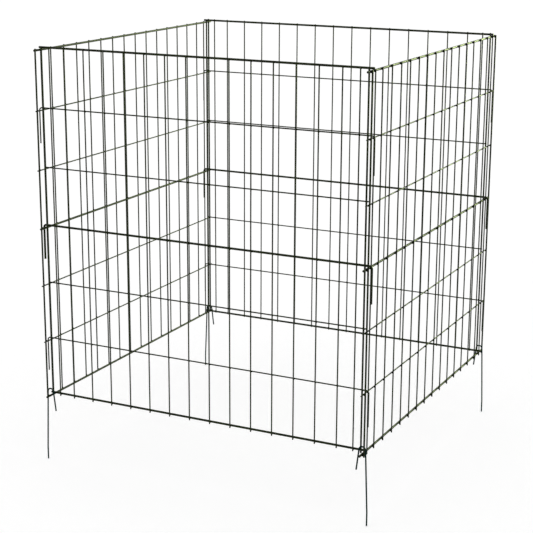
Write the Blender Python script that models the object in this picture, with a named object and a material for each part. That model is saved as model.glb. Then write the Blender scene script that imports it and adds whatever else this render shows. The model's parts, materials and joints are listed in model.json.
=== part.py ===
"""Wire compost bin, at its real size in metres.

Four welded wire panels stand in a square and four bent wire stakes pin their corners to the ground.
The front and back panels are hook panels: three of their cross wires run past the edge uprights, lie on the
wires of the side panels and bend down outside them as pins. The side panels are plain.

Frame: X runs along the front panel, Y runs from the front to the back, Z is up. The origin is under the
middle of the bin, level with the tips of the stakes.
"""

import math

import bmesh
import bpy
from mathutils import Vector

# Wire gauges, all over the coating
RAIL_DIAMETER = 0.0050
UPRIGHT_DIAMETER = 0.0040
MESH_DIAMETER = 0.0030
STAKE_DIAMETER = 0.0034

# Layout of one panel
MESH_PITCH = 0.0508
MESH_PITCHES = 13
NEXT_CELL = 0.0380
PANEL_HEIGHT = 0.7986
ROW_COUNT = 7
NUB_BELOW_RAIL = 0.0025
NUB_ABOVE_RAIL = 0.0005
PLAIN_END = 0.0120
HOOK_PANEL_CROSS_END = 0.0035
RAIL_END_PAST_SIDE = 0.0020

# Hooks
PIN_LENGTH = 0.080
PIN_BEND_RADIUS = 0.006
PIN_CLEARANCE = 0.0030

# Stakes
STRADDLE_CLEARANCE = 0.0033
STAKE_PROUD = 0.012
TIP_DEPTH = 0.160
TIP_STRAIGHT = 0.030
SHORT_LEG_DEPTH = 0.037
LONG_LEG_SPLAY = 0.006
SHORT_LEG_SPLAY = 0.0055

# Clearances
TOUCH_GAP = 0.0003
WELD_SINK = 0.0006
CORNER_CLEARANCE = 0.0005
STAKE_CLEARANCE = 0.0005
CELL_CLEARANCE = 0.0009

# Round wires are drawn with this many steps
THIN_WIRE_STEPS = 1
THICK_WIRE_STEPS = 2
BEND_STEPS = 5
BOW_STEPS = 10

RAIL_RADIUS = RAIL_DIAMETER / 2
UPRIGHT_RADIUS = UPRIGHT_DIAMETER / 2
MESH_RADIUS = MESH_DIAMETER / 2
STAKE_RADIUS = STAKE_DIAMETER / 2

# The weld plane of a panel: its cross wires lie inside it and its uprights outside it
HALF_GAP = TOUCH_GAP / 2

# A side panel's weld plane, outside the centre of a hook panel's edge upright
SIDE_PLANE = UPRIGHT_RADIUS + CORNER_CLEARANCE + RAIL_DIAMETER + HALF_GAP

# The mesh's own cross wires sink into its uprights, and the edge uprights stand clear of them
CROSS_SINK = TOUCH_GAP + WELD_SINK
EDGE_PLANE = HALF_GAP + CROSS_SINK

# A stake stands between a hook panel's edge upright and a side panel's edge upright
STAKE_PLANE = EDGE_PLANE + UPRIGHT_DIAMETER + TOUCH_GAP + STAKE_RADIUS
SIDE_OVERHANG = STAKE_PLANE + STAKE_RADIUS + STAKE_CLEARANCE + UPRIGHT_RADIUS

# The narrow cell at a panel's edge lets the hooks and the stake through
NARROW_CELL = SIDE_OVERHANG + HALF_GAP + RAIL_DIAMETER + CELL_CLEARANCE + MESH_RADIUS

PANEL_WIDTH = MESH_PITCHES * MESH_PITCH + 2 * (NARROW_CELL + NEXT_CELL)
HALF_WIDTH = PANEL_WIDTH / 2
HALF_DEPTH = HALF_WIDTH - SIDE_OVERHANG
HALF_SIDE = HALF_WIDTH + SIDE_PLANE
ROW_PITCH = PANEL_HEIGHT / (ROW_COUNT - 1)

SIDE_PANEL_HEIGHT = TIP_DEPTH
HOOK_PANEL_HEIGHT = SIDE_PANEL_HEIGHT + RAIL_DIAMETER + TOUCH_GAP

PIN_REACH = SIDE_PLANE + PIN_CLEARANCE + RAIL_RADIUS
RAIL_END = SIDE_PLANE + RAIL_END_PAST_SIDE

LEG_SPACING = RAIL_DIAMETER + STAKE_DIAMETER + 2 * STRADDLE_CLEARANCE
BOW_TOP = RAIL_RADIUS + TOUCH_GAP + STAKE_RADIUS + STAKE_PROUD

WIRE_GREEN = (0.016, 0.022, 0.010, 1.0)
STAKE_GREEN = (0.010, 0.026, 0.024, 1.0)
COAT_ROUGHNESS = 0.38


def clear_scene():
    for item in list(bpy.data.objects):
        bpy.data.objects.remove(item, do_unlink=True)


def new_collection(name):
    collection = bpy.data.collections.new(name)
    bpy.context.scene.collection.children.link(collection)
    return collection


def coated_wire(name, colour):
    material = bpy.data.materials.new(name)
    material.use_nodes = True
    shader = material.node_tree.nodes["Principled BSDF"]
    shader.inputs["Base Color"].default_value = colour
    shader.inputs["Roughness"].default_value = COAT_ROUGHNESS
    shader.inputs["Metallic"].default_value = 0.0
    return material


def wire(name, runs, radius, steps, colour, collection, parent):
    """A curve with one straight-sided spline for each run of points, and round section."""
    curve = bpy.data.curves.new(name, "CURVE")
    curve.dimensions = "3D"
    curve.bevel_depth = radius
    curve.bevel_resolution = steps
    curve.use_fill_caps = True
    for points in runs:
        spline = curve.splines.new("POLY")
        spline.points.add(len(points) - 1)
        for corner, point in zip(spline.points, points):
            corner.co = (*point, 1.0)
        spline.use_smooth = True
    item = bpy.data.objects.new(name, curve)
    curve.materials.append(coated_wire(name + "_coat", colour))
    collection.objects.link(item)
    item.parent = parent
    return item


def meshed(item, collection):
    """The same wire as a mesh with welded caps, which a union can join."""
    bpy.context.view_layer.update()
    solid = item.evaluated_get(bpy.context.evaluated_depsgraph_get())
    mesh = bpy.data.meshes.new_from_object(solid)
    shape = bmesh.new()
    shape.from_mesh(mesh)
    bmesh.ops.remove_doubles(shape, verts=shape.verts, dist=0.00001)
    shape.to_mesh(mesh)
    shape.free()
    name = item.name
    place = item.matrix_world.copy()
    parent = item.parent
    bpy.data.objects.remove(item, do_unlink=True)
    copy = bpy.data.objects.new(name, mesh)
    collection.objects.link(copy)
    copy.parent = parent
    copy.matrix_world = place
    return copy


def arc(centre, radius, start, end, steps):
    """Points of an arc in the XZ plane, angles in degrees from +X towards +Z."""
    points = []
    for step in range(steps + 1):
        angle = math.radians(start + (end - start) * step / steps)
        points.append(centre + Vector((radius * math.cos(angle), 0, radius * math.sin(angle))))
    return points


def upright_places():
    """Where a panel's thin uprights stand, from its middle."""
    first = -HALF_WIDTH + NARROW_CELL
    inner = first + NEXT_CELL
    places = [first]
    places += [inner + MESH_PITCH * count for count in range(MESH_PITCHES + 1)]
    places.append(HALF_WIDTH - NARROW_CELL)
    return places


def row_height(row):
    """Row 0 is the bottom rail, the last row is the top rail."""
    return row * ROW_PITCH


def cross_run(row, end, radius):
    """A straight cross wire, inside the weld plane."""
    depth = HALF_GAP + radius
    reach = HALF_WIDTH + end
    height = row_height(row)
    return [Vector((-reach, depth, height)), Vector((reach, depth, height))]


def hook_run(row, radius):
    """A cross wire whose two ends bend down into pins."""
    depth = HALF_GAP + radius
    height = row_height(row)
    reach = HALF_WIDTH + PIN_REACH
    centre = Vector((reach - PIN_BEND_RADIUS, depth, height - PIN_BEND_RADIUS))
    bend = arc(centre, PIN_BEND_RADIUS, 90, 0, BEND_STEPS)
    right = bend + [Vector((reach, depth, height - PIN_LENGTH))]
    left = [Vector((-point.x, point.y, point.z)) for point in reversed(right)]
    return left + right


def upright_run(place, plane, radius):
    """An upright wire, outside a plane of the panel, a little longer than the panel."""
    depth = -plane - radius
    low = -RAIL_RADIUS - NUB_BELOW_RAIL
    high = PANEL_HEIGHT + RAIL_RADIUS + NUB_ABOVE_RAIL
    return [Vector((place, depth, low)), Vector((place, depth, high))]


def mesh_grid(name, cross_end, parts, tools, parent):
    """The thin uprights and the two cross wires that no hook uses, welded into one grid."""
    uprights = [upright_run(place, HALF_GAP, MESH_RADIUS) for place in upright_places()]
    grid = wire(name, uprights, MESH_RADIUS, THIN_WIRE_STEPS, WIRE_GREEN, parts, parent)
    grid = meshed(grid, parts)

    shift = Vector((0, -CROSS_SINK, 0))
    middle = (ROW_COUNT - 1) // 2
    rows = [[point + shift for point in cross_run(row, cross_end, MESH_RADIUS)] for row in (middle - 1, middle + 1)]
    cross = wire(name + "_cross", rows, MESH_RADIUS, THIN_WIRE_STEPS, WIRE_GREEN, tools, parent)
    cross = meshed(cross, tools)
    cross.hide_render = True
    cross.display_type = "WIRE"

    weld = grid.modifiers.new("welds", "BOOLEAN")
    weld.operation = "UNION"
    weld.object = cross
    return grid


def panel(name, ends, hooked, place, turn, parts, tools):
    """One welded panel on its own empty. Its outer side faces -Y before the turn."""
    base = bpy.data.objects.new(name + "_panel", None)
    parts.objects.link(base)
    base.location = place
    base.rotation_euler = (0, 0, math.radians(turn))

    rail_end = RAIL_END if hooked else PLAIN_END
    cross_end = HOOK_PANEL_CROSS_END if hooked else PLAIN_END
    top = ROW_COUNT - 1
    middle = top // 2

    def thick(part, run, radius):
        wire(f"{name}_{part}", [run], radius, THICK_WIRE_STEPS, WIRE_GREEN, parts, base)

    thick("top_rail", cross_run(top, rail_end, RAIL_RADIUS), RAIL_RADIUS)
    thick("bottom_rail", cross_run(0, rail_end, RAIL_RADIUS), RAIL_RADIUS)
    if hooked:
        thick("middle_rail", hook_run(middle, RAIL_RADIUS), RAIL_RADIUS)
        thick("upper_hook_wire", hook_run(top - 1, MESH_RADIUS), MESH_RADIUS)
        thick("lower_hook_wire", hook_run(1, MESH_RADIUS), MESH_RADIUS)
    else:
        thick("middle_rail", cross_run(middle, PLAIN_END, RAIL_RADIUS), RAIL_RADIUS)
        thick("upper_cross_wire", cross_run(top - 1, PLAIN_END, MESH_RADIUS), MESH_RADIUS)
        thick("lower_cross_wire", cross_run(1, PLAIN_END, MESH_RADIUS), MESH_RADIUS)
    for end, side in zip(ends, (-1, 1)):
        thick(f"{end}_upright", upright_run(side * HALF_WIDTH, EDGE_PLANE, UPRIGHT_RADIUS), UPRIGHT_RADIUS)
    mesh_grid(f"{name}_mesh", cross_end, parts, tools, base)


def stake(name, side, end, parts):
    """A bent wire stake. side is -1 left or 1 right, end is -1 front or 1 back.

    Its U straddles the bottom rail of the side panel, with the long leg outside the bin.
    """
    rail_line = HALF_SIDE - HALF_GAP - RAIL_RADIUS
    base = bpy.data.objects.new(name + "_place", None)
    parts.objects.link(base)
    base.location = (side * rail_line, end * (HALF_DEPTH + STAKE_PLANE), SIDE_PANEL_HEIGHT)

    leg = LEG_SPACING / 2
    bow = arc(Vector((0, 0, BOW_TOP - leg)), leg, 180, 0, BOW_STEPS)
    short_tip = Vector((-leg - SHORT_LEG_SPLAY, 0, -SHORT_LEG_DEPTH))
    knee = Vector((leg + LONG_LEG_SPLAY, 0, -TIP_DEPTH + TIP_STRAIGHT))
    long_tip = Vector((leg + LONG_LEG_SPLAY, 0, -TIP_DEPTH))
    run = [short_tip] + bow + [knee, long_tip]
    run = [Vector((side * point.x, point.y, point.z)) for point in run]
    wire(name, [run], STAKE_RADIUS, THICK_WIRE_STEPS, STAKE_GREEN, parts, base)


def main():
    clear_scene()
    parts = new_collection("wire_compost_bin")
    tools = new_collection("wire_compost_bin_tools")

    hook_height = HOOK_PANEL_HEIGHT
    side_height = SIDE_PANEL_HEIGHT
    panel("front", ("left", "right"), True, (0, -HALF_DEPTH, hook_height), 0, parts, tools)
    panel("back", ("right", "left"), True, (0, HALF_DEPTH, hook_height), 180, parts, tools)
    panel("left", ("back", "front"), False, (-HALF_SIDE, 0, side_height), -90, parts, tools)
    panel("right", ("front", "back"), False, (HALF_SIDE, 0, side_height), 90, parts, tools)

    for end_name, end in (("front", -1), ("back", 1)):
        for side_name, side in (("left", -1), ("right", 1)):
            stake(f"stake_{end_name}_{side_name}", side, end, parts)
    bpy.context.view_layer.update()


main()
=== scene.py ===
# %% [markdown]
# # A wire compost bin
# Four flat panels of welded steel wire stand in a square, and four bent wire stakes hold their corners
# down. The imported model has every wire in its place, as a plain solid with six or eight flat sides. This
# lesson makes each wire again as a fine round wire under a coat of powder paint, and adds the welds where
# the wires cross. Nothing is moved: every new piece takes its place and length from the wire that it
# stands for.

import json
import math
from bisect import bisect_right
from random import Random

import bmesh
import bpy
from mathutils import Matrix, Vector, noise

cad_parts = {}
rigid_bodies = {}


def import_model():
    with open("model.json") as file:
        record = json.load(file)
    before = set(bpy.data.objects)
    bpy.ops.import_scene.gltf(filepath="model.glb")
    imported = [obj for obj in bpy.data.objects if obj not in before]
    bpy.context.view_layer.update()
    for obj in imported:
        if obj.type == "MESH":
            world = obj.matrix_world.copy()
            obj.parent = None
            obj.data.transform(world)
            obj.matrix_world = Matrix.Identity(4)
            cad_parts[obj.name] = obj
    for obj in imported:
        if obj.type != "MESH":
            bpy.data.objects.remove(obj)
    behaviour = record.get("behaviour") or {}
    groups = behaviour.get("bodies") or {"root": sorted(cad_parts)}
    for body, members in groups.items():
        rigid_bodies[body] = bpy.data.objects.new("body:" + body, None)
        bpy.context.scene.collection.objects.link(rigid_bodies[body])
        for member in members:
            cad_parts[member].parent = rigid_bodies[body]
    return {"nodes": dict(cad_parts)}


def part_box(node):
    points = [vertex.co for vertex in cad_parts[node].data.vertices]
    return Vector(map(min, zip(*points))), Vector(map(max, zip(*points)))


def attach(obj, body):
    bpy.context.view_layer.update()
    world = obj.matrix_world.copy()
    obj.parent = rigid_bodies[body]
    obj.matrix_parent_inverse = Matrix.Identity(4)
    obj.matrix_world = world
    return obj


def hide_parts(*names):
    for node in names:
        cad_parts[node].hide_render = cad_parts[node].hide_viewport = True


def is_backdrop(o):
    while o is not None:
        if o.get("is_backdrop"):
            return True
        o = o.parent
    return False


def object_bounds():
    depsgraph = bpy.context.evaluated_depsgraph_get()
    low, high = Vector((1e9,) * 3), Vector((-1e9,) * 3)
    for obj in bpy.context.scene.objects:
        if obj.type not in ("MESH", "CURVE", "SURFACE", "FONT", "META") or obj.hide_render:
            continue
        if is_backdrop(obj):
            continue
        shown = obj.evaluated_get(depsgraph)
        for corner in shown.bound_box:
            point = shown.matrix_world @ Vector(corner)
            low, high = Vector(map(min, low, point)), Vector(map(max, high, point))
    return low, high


for item in list(bpy.data.objects):
    bpy.data.objects.remove(item, do_unlink=True)

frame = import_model()
cad_low, cad_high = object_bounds()
print("wires in the packed model:", len(frame["nodes"]))

# %% [markdown]
# ## Colours and nodes
# Paint makers and web pages give a colour as an sRGB hex value, but Blender's shaders count in linear
# light, so one function turns the first into the second. A second small function adds a shader node, sets
# it up and links it, so that each material below reads as a short list of what goes into it.


# %% Helpers for colours and nodes
def linear(hex_colour):
    channels = [int(hex_colour[at:at + 2], 16) / 255 for at in (1, 3, 5)]
    bright = [c / 12.92 if c <= 0.04045 else ((c + 0.055) / 1.055) ** 2.4 for c in channels]
    return (*bright, 1.0)


def add_node(tree, kind, inputs=None, **settings):
    node = tree.nodes.new(kind)
    for name, value in settings.items():
        setattr(node, name, value)
    for name, value in (inputs or {}).items():
        if isinstance(value, bpy.types.NodeSocket):
            tree.links.new(value, node.inputs[name])
        else:
            node.inputs[name].default_value = value
    return node


print("a mid green, in linear light:", [round(c, 3) for c in linear("#3A5F2B")])

# %% [markdown]
# ## Powder-coated steel wire
# The panels are drawn steel wire, welded first and then sprayed with polyester powder that melts in an
# oven into one tough skin. That gives the eye three things: a deep green that looks black until light
# grazes it, a satin gloss, and the fine dimples that painters call orange peel. Seen along its length a
# wire turns pale, because any smooth coat mirrors more at a flat angle. The shader does that by itself,
# from its IOR, so no trick with the camera is needed. A polyester coat has an IOR of about 1.5. It is set
# lower here, until the wires that run across the view are as black as in the picture. A noise of 40 mm
# lets the colour drift a little, as a sprayed coat does, and one of 1.6 mm gives the orange peel. Real
# orange peel is finer, but it wouldn't show at this size.

# %% The coat's maker
MM = 0.001

COAT_DRIFT_SIZE = 40 * MM
ORANGE_PEEL_SIZE = 1.6 * MM
ORANGE_PEEL_HEIGHT = 0.03 * MM
ORANGE_PEEL_STRENGTH = 0.6

# The drift's noise is deep in colour below the first value and light above the second
DEEP_BELOW = 0.35
LIGHT_ABOVE = 0.70

# The same noise moves the roughness by this much each way, between these two values
GLOSS_SWING = 0.05
GLOSS_FROM = 0.3
GLOSS_TO = 0.7


def powder_coat(name, deep, light, roughness, ior):
    """Polyester powder coat: a colour that drifts between two greens, satin gloss and orange peel."""
    material = bpy.data.materials.new(name)
    material.use_nodes = True
    tree = material.node_tree
    coat = tree.nodes["Principled BSDF"]
    coat.inputs["Metallic"].default_value = 0.0
    coat.inputs["IOR"].default_value = ior

    place = add_node(tree, "ShaderNodeTexCoord").outputs["Object"]
    drift = add_node(tree, "ShaderNodeTexNoise", {
        "Vector": place, "Scale": 1 / COAT_DRIFT_SIZE, "Detail": 3.0})
    colour = add_node(tree, "ShaderNodeValToRGB", {"Fac": drift.outputs["Fac"]})
    colour.color_ramp.elements[0].color = linear(deep)
    colour.color_ramp.elements[0].position = DEEP_BELOW
    colour.color_ramp.elements[1].color = linear(light)
    colour.color_ramp.elements[1].position = LIGHT_ABOVE
    tree.links.new(colour.outputs["Color"], coat.inputs["Base Color"])

    gloss = add_node(tree, "ShaderNodeMapRange", {
        "Value": drift.outputs["Fac"], "From Min": GLOSS_FROM, "From Max": GLOSS_TO,
        "To Min": roughness - GLOSS_SWING, "To Max": roughness + GLOSS_SWING})
    tree.links.new(gloss.outputs["Result"], coat.inputs["Roughness"])

    peel = add_node(tree, "ShaderNodeTexNoise", {
        "Vector": place, "Scale": 1 / ORANGE_PEEL_SIZE, "Detail": 1.0})
    dimples = add_node(tree, "ShaderNodeBump", {
        "Height": peel.outputs["Fac"], "Distance": ORANGE_PEEL_HEIGHT,
        "Strength": ORANGE_PEEL_STRENGTH})
    tree.links.new(dimples.outputs["Normal"], coat.inputs["Normal"])
    return material


# %% [markdown]
# ## Three coats
# All the wires of a panel went through the oven together, so they share one coat. Over a weld the powder
# sets thicker. The welds' coat is near black and mirrors less: that is painted shade, for the shade that
# falls in each crossing, and it makes the crossings look like black dots. The stakes come from another
# batch: their coat is a blue-green and a little less glossy.

# %% Mix the three coats
wire_coat = powder_coat(
    "green_powder_coat_on_wire", deep="#121808", light="#20290D", roughness=0.36, ior=1.18)
# The welds' near-black, less mirroring coat is painted shade for the crossings, not a colour of their own
weld_coat_darkened_as_painted_shade = powder_coat(
    "green_powder_coat_on_welds_darkened_as_painted_shade", deep="#050602", light="#0A0E06", roughness=0.45, ior=1.10)
stake_coat = powder_coat(
    "blue_green_powder_coat_on_stakes", deep="#021B19", light="#0A2C29", roughness=0.42, ior=1.14)
print("coats:", [material.name for material in (wire_coat, weld_coat_darkened_as_painted_shade, stake_coat)])

# %% [markdown]
# ## The gauges of wire
# A panel is made of three gauges. The rails along its top, middle and bottom are the thickest, the
# upright at each end is the next, and the rest is thin. The stakes have a gauge of their own. All are
# measured over the coat. Two wires that are welded together lie a hair's breadth apart in the packed
# model, and the weld fills that gap.

# %% Gauges
RAIL_DIAMETER = 5.0 * MM
EDGE_DIAMETER = 4.0 * MM
MESH_DIAMETER = 3.0 * MM
STAKE_DIAMETER = 3.4 * MM
WELD_GAP = 0.3 * MM

THICK_SIDES = 16
THIN_SIDES = 12

# %% [markdown]
# ## Each panel's own frame
# The four panels are the same thing turned in four directions, so all of them are made in one flat frame:
# X along the panel, Z up from the bottom rail, and Y the depth, where zero is the plane in which the
# wires touch and less than zero is outside the bin. One matrix for each panel then carries it to its side
# of the square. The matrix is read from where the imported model's bottom rail lies.

# %% Frames of the four panels
PANEL_TURNS = {"front": 0, "right": 90, "back": 180, "left": -90}
PANEL_BODIES = {"front": "front_panel", "right": "side_panels", "back": "back_panel", "left": "side_panels"}


def middle_of(corners):
    return (corners[0] + corners[1]) / 2


def panel_frame(panel):
    turn = Matrix.Rotation(math.radians(PANEL_TURNS[panel]), 4, "Z")
    outward = turn @ Vector((0, -1, 0))
    weld_plane = middle_of(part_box(f"{panel}_bottom_rail")) + outward * (RAIL_DIAMETER + WELD_GAP) / 2
    return Matrix.Translation(weld_plane) @ turn


def box_in_panel(panel, node):
    """A packed wire's lowest and highest corners, in its panel's own frame."""
    flat = panel_frame(panel).inverted()
    first, second = (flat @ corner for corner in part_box(node))
    return Vector(map(min, first, second)), Vector(map(max, first, second))


half_width = middle_of(box_in_panel("front", "front_right_upright")).x
panel_height = middle_of(box_in_panel("front", "front_top_rail")).z
print("panel, between wire centres, mm:", round(2 * half_width / MM, 1), "x", round(panel_height / MM, 1))

# %% [markdown]
# ## Round wire from rings
# A curve object with a bevel would give a round wire in one line, but its ends are flat discs with sharp
# rims and its thickness never varies. Here a wire is a row of rings joined by faces, which leaves every
# ring free. The shears left each end flat and the melted powder rounded its rim, so the last rings shrink
# a little. Along the wire the coat is a few hundredths of a millimetre thinner here than there, up to
# three hundredths of the radius, which makes the highlights run unevenly, as they do on a real coated
# wire. Every 30 mm it changes.

# %% Points along a path
RING_SPACING = 12 * MM
COAT_SWELL = 0.03
COAT_SWELL_SIZE = 30 * MM

# Distance from the cut end, and the ring's size there, both as shares of the wire's radius
CUT_END = ((0.0, 0.70), (0.06, 0.86), (0.20, 0.96), (0.45, 1.0))


def marks_along(path):
    marks = [0.0]
    for start, end in zip(path, path[1:]):
        marks.append(marks[-1] + (end - start).length)
    return marks


def point_at(path, marks, distance):
    step = min(max(bisect_right(marks, distance) - 1, 0), len(path) - 2)
    share = (distance - marks[step]) / (marks[step + 1] - marks[step])
    return path[step].lerp(path[step + 1], share)


def ring_places(path, radius):
    """Distances along the path at which a ring goes, with the ring's share of the radius."""
    marks = marks_along(path)
    length = marks[-1]
    places = {}
    for start, end in zip(marks, marks[1:]):
        steps = max(1, math.ceil((end - start) / RING_SPACING))
        for step in range(steps):
            at = start + (end - start) * step / steps
            if radius < at < length - radius:
                places[at] = 1.0
    for offset, share in CUT_END:
        places[offset * radius] = share
        places[length - offset * radius] = share
    return sorted(places.items())


# %% One round wire
# A ring faces along the path between two points this far before and after it, as a share of the radius
RING_REACH = 0.2

# Blender's noise is zero at whole numbers, so it is read half way between two of them
NOISE_SLICE = 0.5

# Faces that meet at more than this angle, in degrees, keep a sharp edge between them
SHARP_ANGLE = 50


def add_skin(shape, rings):
    """Joins a row of rings, all with as many points, into a closed tube."""
    for lower, upper in zip(rings, rings[1:]):
        for step in range(len(lower)):
            after = (step + 1) % len(lower)
            shape.faces.new((lower[step], lower[after], upper[after], upper[step]))
    shape.faces.new(rings[0])
    shape.faces.new(rings[-1])


def add_wire(shape, path, radius, sides, seed):
    """Adds a closed round wire to a mesh under construction. The path lies in a plane of constant Y."""
    marks = marks_along(path)
    across = Vector((0, 1, 0))
    reach = RING_REACH * radius
    rings = []
    for distance, share in ring_places(path, radius):
        here = point_at(path, marks, distance)
        ahead = point_at(path, marks, min(distance + reach, marks[-1]))
        behind = point_at(path, marks, max(distance - reach, 0.0))
        upward = (ahead - behind).normalized().cross(across)
        thinner = COAT_SWELL * abs(noise.noise(Vector((distance / COAT_SWELL_SIZE, seed, NOISE_SLICE))))
        size = radius * share * (1 - thinner)
        ring = []
        for step in range(sides):
            angle = 2 * math.pi * step / sides
            way = math.cos(angle) * across + math.sin(angle) * upward
            ring.append(shape.verts.new(here + size * way))
        rings.append(ring)
    add_skin(shape, rings)


def finished(shape, name, material, placement=Matrix.Identity(4)):
    """Turns a mesh under construction into an object, with its faces outward and smooth."""
    bmesh.ops.recalc_face_normals(shape, faces=shape.faces)
    mesh = bpy.data.meshes.new(name)
    shape.to_mesh(mesh)
    shape.free()
    mesh.transform(placement)
    mesh.shade_smooth()
    mesh.set_sharp_from_angle(angle=math.radians(SHARP_ANGLE))
    mesh.materials.append(material)
    piece = bpy.data.objects.new(name, mesh)
    bpy.context.scene.collection.objects.link(piece)
    return piece


# %% [markdown]
# ## Rails, cross wires and hooks
# A straight wire is a path of two points. Six of the cross wires are hooks as well: on the front and back
# panels the middle rail and two thin wires run past the corner and bend down into pins, which drop
# outside the side panels and hold the corner together. A wire bent cold round a former keeps an even
# curve, so each bend is an arc. Which path a wire needs is read from its box: a level wire whose box is
# tall has pins.

# %% Paths of single wires
PIN_BEND_RADIUS = 6 * MM
BEND_STEPS = 14

# A straight level wire's box is one gauge high. From this many gauges on, the wire has pins
GAUGES_HIGH_WITH_PINS = 2


def arc(centre, radius, start, end, steps):
    """Points of an arc in the XZ plane, angles in degrees from +X towards +Z."""
    points = []
    for step in range(steps + 1):
        angle = math.radians(start + (end - start) * step / steps)
        points.append(centre + radius * Vector((math.cos(angle), 0, math.sin(angle))))
    return points


def level_path(low, high):
    centre = (low + high) / 2
    return [Vector((low.x, centre.y, centre.z)), Vector((high.x, centre.y, centre.z))]


def upright_path(low, high):
    centre = (low + high) / 2
    return [Vector((centre.x, centre.y, low.z)), Vector((centre.x, centre.y, high.z))]


def hook_path(low, high, radius):
    depth = (low.y + high.y) / 2
    pin = high.x - radius
    level = high.z - radius
    centre = Vector((pin - PIN_BEND_RADIUS, depth, level - PIN_BEND_RADIUS))
    right = arc(centre, PIN_BEND_RADIUS, 90, 0, BEND_STEPS) + [Vector((pin, depth, low.z))]
    left = [Vector((-point.x, point.y, point.z)) for point in reversed(right)]
    return left + right


def single_wire_path(low, high, radius):
    size = high - low
    if size.z > size.x:
        return upright_path(low, high)
    if size.z > GAUGES_HIGH_WITH_PINS * 2 * radius:
        return hook_path(low, high, radius)
    return level_path(low, high)


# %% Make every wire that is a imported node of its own
def gauge(node):
    if node.endswith("_rail"):
        return RAIL_DIAMETER
    return EDGE_DIAMETER if node.endswith("_upright") else MESH_DIAMETER


def single_wires(panel):
    return sorted(n for n in frame["nodes"] if n.startswith(panel + "_") and not n.endswith("_mesh"))


pieces = {}
for panel in PANEL_TURNS:
    for count, node in enumerate(single_wires(panel)):
        low, high = box_in_panel(panel, node)
        radius = gauge(node) / 2
        shape = bmesh.new()
        add_wire(shape, single_wire_path(low, high, radius), radius, THICK_SIDES, count)
        piece = finished(shape, node + "_coated", wire_coat, panel_frame(panel))
        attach(piece, PANEL_BODIES[panel])
        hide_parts(node)
        pieces[node] = piece
print("single wires:", len(pieces))

# %% [markdown]
# ## The mesh between the rails
# Sixteen thin uprights stand between the two thick ones. Fourteen keep the two-inch pitch of welded
# garden mesh, and at each end the cells are narrower, to grip the corner. Two thin cross wires that carry
# no hook complete it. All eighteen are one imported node, so they become one object. Between two welds a
# thin upright is never quite straight, so each span gets a bow of up to a quarter of a millimetre, pinned
# to zero at the welds.

# %% Places of the thin wires
MESH_PITCH = 50.8 * MM
MESH_PITCHES = 13
NEXT_CELL = 38.0 * MM
ROW_COUNT = 7
MESH_CROSS_SINK = 0.9 * MM
SPAN_BOW = 0.25 * MM
SPAN_STEPS = 8

# Steps through the noise from one span to the next and from one wire to the next
BOW_ROW_STEP = 0.37
BOW_WIRE_STEP = 1.91

# Every thin upright has a seed of its own, counted on by this step from one panel to the next
PANEL_SEED_STEP = 100
CROSS_WIRE_SEED = 50

row_pitch = panel_height / (ROW_COUNT - 1)
row_heights = [row * row_pitch for row in range(ROW_COUNT)]
inner_edge = MESH_PITCHES * MESH_PITCH / 2
thin_places = [-inner_edge + MESH_PITCH * count for count in range(MESH_PITCHES + 1)]
thin_places = [-inner_edge - NEXT_CELL] + thin_places + [inner_edge + NEXT_CELL]
mesh_rows = (ROW_COUNT // 2 - 1, ROW_COUNT // 2 + 1)
thin_depth = -(MESH_DIAMETER + WELD_GAP) / 2
mesh_cross_depth = (MESH_DIAMETER + WELD_GAP) / 2 - MESH_CROSS_SINK
print("the narrow cell, mm:", round((half_width - thin_places[-1]) / MM, 2))


# %% Bowed uprights and plain cross wires
def bowed_upright(place, low, high, seed):
    points = [Vector((place, thin_depth, low))]
    for row, (start, end) in enumerate(zip(row_heights, row_heights[1:])):
        bow = SPAN_BOW * noise.noise(Vector((BOW_ROW_STEP * row, BOW_WIRE_STEP * seed, NOISE_SLICE)))
        for step in range(SPAN_STEPS):
            share = step / SPAN_STEPS
            side = bow * math.sin(math.pi * share)
            points.append(Vector((place + side, thin_depth, start + (end - start) * share)))
    points.append(Vector((place, thin_depth, row_heights[-1])))
    points.append(Vector((place, thin_depth, high)))
    return points


for order, panel in enumerate(PANEL_TURNS):
    low, high = box_in_panel(panel, f"{panel}_mesh")
    radius = MESH_DIAMETER / 2
    shape = bmesh.new()
    for count, place in enumerate(thin_places):
        seed = PANEL_SEED_STEP * order + count
        add_wire(shape, bowed_upright(place, low.z, high.z, seed), radius, THIN_SIDES, seed)
    for row in mesh_rows:
        ends = [Vector((x, mesh_cross_depth, row_heights[row])) for x in (low.x, high.x)]
        add_wire(shape, ends, radius, THIN_SIDES, CROSS_WIRE_SEED + row)
    piece = finished(shape, f"{panel}_mesh_coated", wire_coat, panel_frame(panel))
    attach(piece, PANEL_BODIES[panel])
    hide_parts(f"{panel}_mesh")
    pieces[f"{panel}_mesh"] = piece
print("thin wires in each mesh:", len(thin_places) + len(mesh_rows))

# %% [markdown]
# ## Welds
# Two bars of a welding machine squeeze each crossing and a burst of current melts the wires into each
# other, and later the powder flows into the corner that is left. What shows is a small saddle: seen from
# outside it runs up and down the upright, seen from inside it runs along the cross wire. A sphere would
# bulge out like a bead, and rounding a union of all the wires would take millions of faces. So each weld
# is a stack of ellipses through the depth of the joint, tall where it lies in the upright and wide where
# it lies in the cross wire. No two come out alike, so a seeded random number varies each one's flare a
# little. The sizes are those of a strong weld with its coat, a little larger than most, so that the black
# dots of the picture show.

# %% One weld
WELD_SIDES = 14
WELD_RINGS = 7

# A weld's half width grows from this share of the wire's radius, inside the wire, out to the flare
WELD_SINK = 0.90
WELD_FLARE = 3.6 * MM
WELD_SPREAD = 1.2

# The flare varies by this share each way, drawn with this seed
WELD_VARIES = 0.12
WELD_SEED = 7

# The top row of welds stays this far below the uprights' upper ends
WELD_BELOW_END = 0.3 * MM


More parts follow.
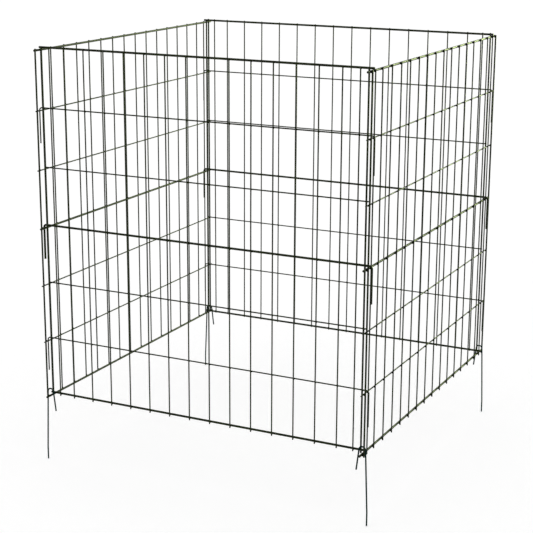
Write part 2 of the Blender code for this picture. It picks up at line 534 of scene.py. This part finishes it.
def add_weld(shape, place, height, upright, cross, ceiling, chance):
    """upright and cross are each a wire's (depth, radius). No weld runs higher than the ceiling."""
    flare = WELD_FLARE * (1 + WELD_VARIES * (2 * chance.random() - 1))
    rings = []
    for level in range(WELD_RINGS):
        share = level / (WELD_RINGS - 1)
        depth = upright[0] + (cross[0] - upright[0]) * share
        wide = WELD_SINK * upright[1] + (flare - WELD_SINK * upright[1]) * share ** WELD_SPREAD
        tall = WELD_SINK * cross[1] + (flare - WELD_SINK * cross[1]) * (1 - share) ** WELD_SPREAD
        ring = []
        for step in range(WELD_SIDES):
            angle = 2 * math.pi * step / WELD_SIDES
            top = min(height + tall * math.sin(angle), ceiling)
            ring.append(shape.verts.new((place + wide * math.cos(angle), depth, top)))
        rings.append(ring)
    add_skin(shape, rings)


# %% Weld every crossing
def uprights_of(panel):
    found = [(place, thin_depth, MESH_DIAMETER / 2) for place in thin_places]
    for node in single_wires(panel):
        if node.endswith("_upright"):
            centre = middle_of(box_in_panel(panel, node))
            found.append((centre.x, centre.y, EDGE_DIAMETER / 2))
    return found


def cross_wires_of(panel):
    found = [(row_heights[row], mesh_cross_depth, MESH_DIAMETER / 2) for row in mesh_rows]
    for node in single_wires(panel):
        if not node.endswith("_upright"):
            low, high = box_in_panel(panel, node)
            radius = gauge(node) / 2
            found.append((high.z - radius, (low.y + high.y) / 2, radius))
    return found


chance = Random(WELD_SEED)
weld_count = 0
for panel in PANEL_TURNS:
    shape = bmesh.new()
    ceiling = box_in_panel(panel, f"{panel}_mesh")[1].z - WELD_BELOW_END
    for place, upright_depth, upright_radius in uprights_of(panel):
        for height, cross_depth, cross_radius in cross_wires_of(panel):
            upright, cross = (upright_depth, upright_radius), (cross_depth, cross_radius)
            add_weld(shape, place, height, upright, cross, ceiling, chance)
            weld_count += 1
    piece = finished(shape, f"{panel}_welds", weld_coat_darkened_as_painted_shade, panel_frame(panel))
    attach(piece, PANEL_BODIES[panel])
    pieces[f"{panel}_welds"] = piece
print("welds:", weld_count)

# %% [markdown]
# ## Stakes
# A stake is one wire bent into a lopsided U that straddles the side panel's bottom rail: its long leg
# goes down outside the bin, its short leg inside. The legs leave the bow at a slight angle, and the last
# stretch of the long leg is set straight, so that it enters the soil upright. It lies in one plane, as
# every wire here does.

# %% Bend the four stakes
STAKE_LEG_SPACING = 15 * MM
STAKE_TIP_STRAIGHT = 30 * MM
SHORT_LEG_DEPTH = 37 * MM
SHORT_LEG_SPLAY = 5.5 * MM
BOW_STEPS = 28
STAKE_SEED = 70


def stake_path(node, side):
    low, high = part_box(node)
    rail = middle_of(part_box(f"{side}_bottom_rail"))
    outward = 1 if side == "right" else -1
    radius = STAKE_DIAMETER / 2
    leg = STAKE_LEG_SPACING / 2
    outermost = max(abs(low.x), abs(high.x)) - radius - abs(rail.x)
    bow_centre = Vector((0, 0, high.z - radius - leg))
    run = [Vector((-leg - SHORT_LEG_SPLAY, 0, rail.z - SHORT_LEG_DEPTH))]
    run += arc(bow_centre, leg, 180, 0, BOW_STEPS)
    run += [Vector((outermost, 0, low.z + STAKE_TIP_STRAIGHT)), Vector((outermost, 0, low.z))]
    depth = (low.y + high.y) / 2
    return [Vector((rail.x + outward * point.x, depth, point.z)) for point in run]


for count, node in enumerate(sorted(n for n in frame["nodes"] if n.startswith("stake_"))):
    side = node.split("_")[-1]
    shape = bmesh.new()
    add_wire(shape, stake_path(node, side), STAKE_DIAMETER / 2, THICK_SIDES, STAKE_SEED + count)
    piece = finished(shape, node + "_coated", stake_coat)
    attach(piece, node)
    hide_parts(node)
    pieces[node] = piece

# %% [markdown]
# ## Floor and background
# The bin stands in a white studio. One large plain floor fills the whole view, because the camera looks
# down a little. Its paint is pale, not pure white, and the difference up to white is added only for what
# the camera or a reflection sees, through Light Path. So the floor looks white, no extra light falls on
# the bin, and the bin's faint shadow stays. WORLD_FILL is how strongly the world, which comes next,
# lights the floor and the bin. The floor is set a fiftieth over white, because the bin shades the floor
# all round it by about as much.

# %% Lay the floor
FLOOR_HALF = 40.0
WHITE = 1.0
FLOOR_COLOUR = "#E8E8E8"
FLOOR_ROUGHNESS = 0.9
WORLD_FILL = 0.75
FLOOR_SEEN_LEVEL = 1.02
FLOOR_SEEN_EXTRA = FLOOR_SEEN_LEVEL - WORLD_FILL * linear(FLOOR_COLOUR)[0]


def seen_directly(tree):
    """One for a ray from the camera, from a mirror-like reflection or through glass, and zero for others."""
    ray = add_node(tree, "ShaderNodeLightPath")
    either = add_node(tree, "ShaderNodeMath", operation="MAXIMUM")
    tree.links.new(ray.outputs["Is Camera Ray"], either.inputs[0])
    tree.links.new(ray.outputs["Is Glossy Ray"], either.inputs[1])
    seen = add_node(tree, "ShaderNodeMath", operation="MAXIMUM")
    tree.links.new(either.outputs["Value"], seen.inputs[0])
    tree.links.new(ray.outputs["Is Transmission Ray"], seen.inputs[1])
    return seen.outputs["Value"]


floor_paint = bpy.data.materials.new("matt_white_studio_floor")
floor_paint.use_nodes = True
paint = floor_paint.node_tree.nodes["Principled BSDF"]
paint.inputs["Base Color"].default_value = linear(FLOOR_COLOUR)
paint.inputs["Roughness"].default_value = FLOOR_ROUGHNESS
paint.inputs["Specular IOR Level"].default_value = 0.0
paint.inputs["Emission Color"].default_value = (WHITE, WHITE, WHITE, 1.0)
extra = add_node(floor_paint.node_tree, "ShaderNodeMath", operation="MULTIPLY")
extra.inputs[1].default_value = FLOOR_SEEN_EXTRA
floor_paint.node_tree.links.new(seen_directly(floor_paint.node_tree), extra.inputs[0])
floor_paint.node_tree.links.new(extra.outputs["Value"], paint.inputs["Emission Strength"])

floor_shape = bmesh.new()
corners = []
for x, y in ((-1, -1), (1, -1), (1, 1), (-1, 1)):
    corners.append(floor_shape.verts.new((x * FLOOR_HALF, y * FLOOR_HALF, cad_low.z)))
floor_shape.faces.new(corners)
floor = finished(floor_shape, "studio_floor", floor_paint)
floor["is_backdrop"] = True
print("floor level, mm:", round(cad_low.z / MM, 2))

# %% [markdown]
# ## World and lamps
# Most of the light is even and comes from all round, as in a white tent. A softbox at the upper right
# gives the uprights a lit side. A tall one stands far behind the bin, just to the right of it: that is
# where the rails of the right panel, which run away from the eye, mirror the room at a flat angle, so it
# turns them pale. It is a pale green, because the picture shows that tint there. Both lamps light the bin
# only, through light linking, so the floor stays as even as the tent makes it.

# %% Light the bin
KEY_PLACE = (2.6, -0.6, 3.0)
KEY_SIDE = 1.6
KEY_WATTS = 50
KEY_COLOUR = "#FFFFFF"

BACK_PLACE = (1.3, 4.4, 1.4)
BACK_WIDTH = 1.5
BACK_HEIGHT = 2.4
BACK_WATTS = 245
BACK_COLOUR = "#E8FFAE"

world = bpy.data.worlds.new("white_tent")
world.use_nodes = True
bpy.context.scene.world = world
sky = world.node_tree.nodes["Background"]
sky.inputs["Color"].default_value = (WHITE, WHITE, WHITE, 1.0)
level = add_node(world.node_tree, "ShaderNodeMapRange", {
    "Value": seen_directly(world.node_tree), "To Min": WORLD_FILL, "To Max": WHITE})
world.node_tree.links.new(level.outputs["Result"], sky.inputs["Strength"])

bin_only = bpy.data.collections.new("lit_by_the_lamps")
for piece in pieces.values():
    bin_only.objects.link(piece)


def soft_lamp(name, place, aim, width, height, watts, colour):
    lamp = bpy.data.lights.new(name, "AREA")
    lamp.shape = "RECTANGLE"
    lamp.size = width
    lamp.size_y = height
    lamp.energy = watts
    lamp.color = linear(colour)[:3]
    item = bpy.data.objects.new(name, lamp)
    bpy.context.scene.collection.objects.link(item)
    item.location = place
    item.rotation_euler = (Vector(aim) - Vector(place)).to_track_quat("-Z", "Y").to_euler()
    item.visible_camera = False
    item.light_linking.receiver_collection = bin_only


bin_middle = (cad_low + cad_high) / 2
soft_lamp("key_softbox", KEY_PLACE, bin_middle, KEY_SIDE, KEY_SIDE, KEY_WATTS, KEY_COLOUR)
soft_lamp("tall_softbox_behind", BACK_PLACE, bin_middle, BACK_WIDTH, BACK_HEIGHT, BACK_WATTS, BACK_COLOUR)

# %% [markdown]
# ## Camera
# The picture was taken with a long lens from about three metres, a little above the rim, looking at the
# right front corner. Place, heading, tilt and roll were measured from the lines of the mesh, which all
# keep a known pitch. No lens shift is used, so the bin stays centred when the camera goes round it.

# %% Place the camera
CAMERA_PLACE = (1.4551, -2.9667, 1.3070)
CAMERA_HEADING = 26.50
CAMERA_DOWN = 14.91
CAMERA_ROLL = 0.235
FOCAL_PIXELS = 1429.9
PICTURE_PIXELS = 533
SENSOR_WIDTH = 36.0

lens = bpy.data.cameras.new("long_lens")
lens.sensor_width = SENSOR_WIDTH
lens.lens = FOCAL_PIXELS / PICTURE_PIXELS * SENSOR_WIDTH
camera = bpy.data.objects.new("camera", lens)
bpy.context.scene.collection.objects.link(camera)
heading = Matrix.Rotation(math.radians(CAMERA_HEADING), 4, "Z")
tilt = Matrix.Rotation(math.radians(90 - CAMERA_DOWN), 4, "X")
roll = Matrix.Rotation(math.radians(CAMERA_ROLL), 4, "Z")
camera.matrix_world = Matrix.Translation(CAMERA_PLACE) @ heading @ tilt @ roll
bpy.context.scene.camera = camera
bpy.context.scene.view_settings.view_transform = "Standard"
print("lens, mm:", round(lens.lens, 1))

# %% [markdown]
# ## Sizes, and the end
# The new wires must fill the same box as the imported ones. Both boxes are measured, and the largest
# difference between them is printed.

# %% Compare the sizes and finish
low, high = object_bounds()
differences = [abs(a - b) for a, b in zip((*cad_low, *cad_high), (*low, *high))]
print("largest difference, mm:", round(max(differences) / MM, 3))
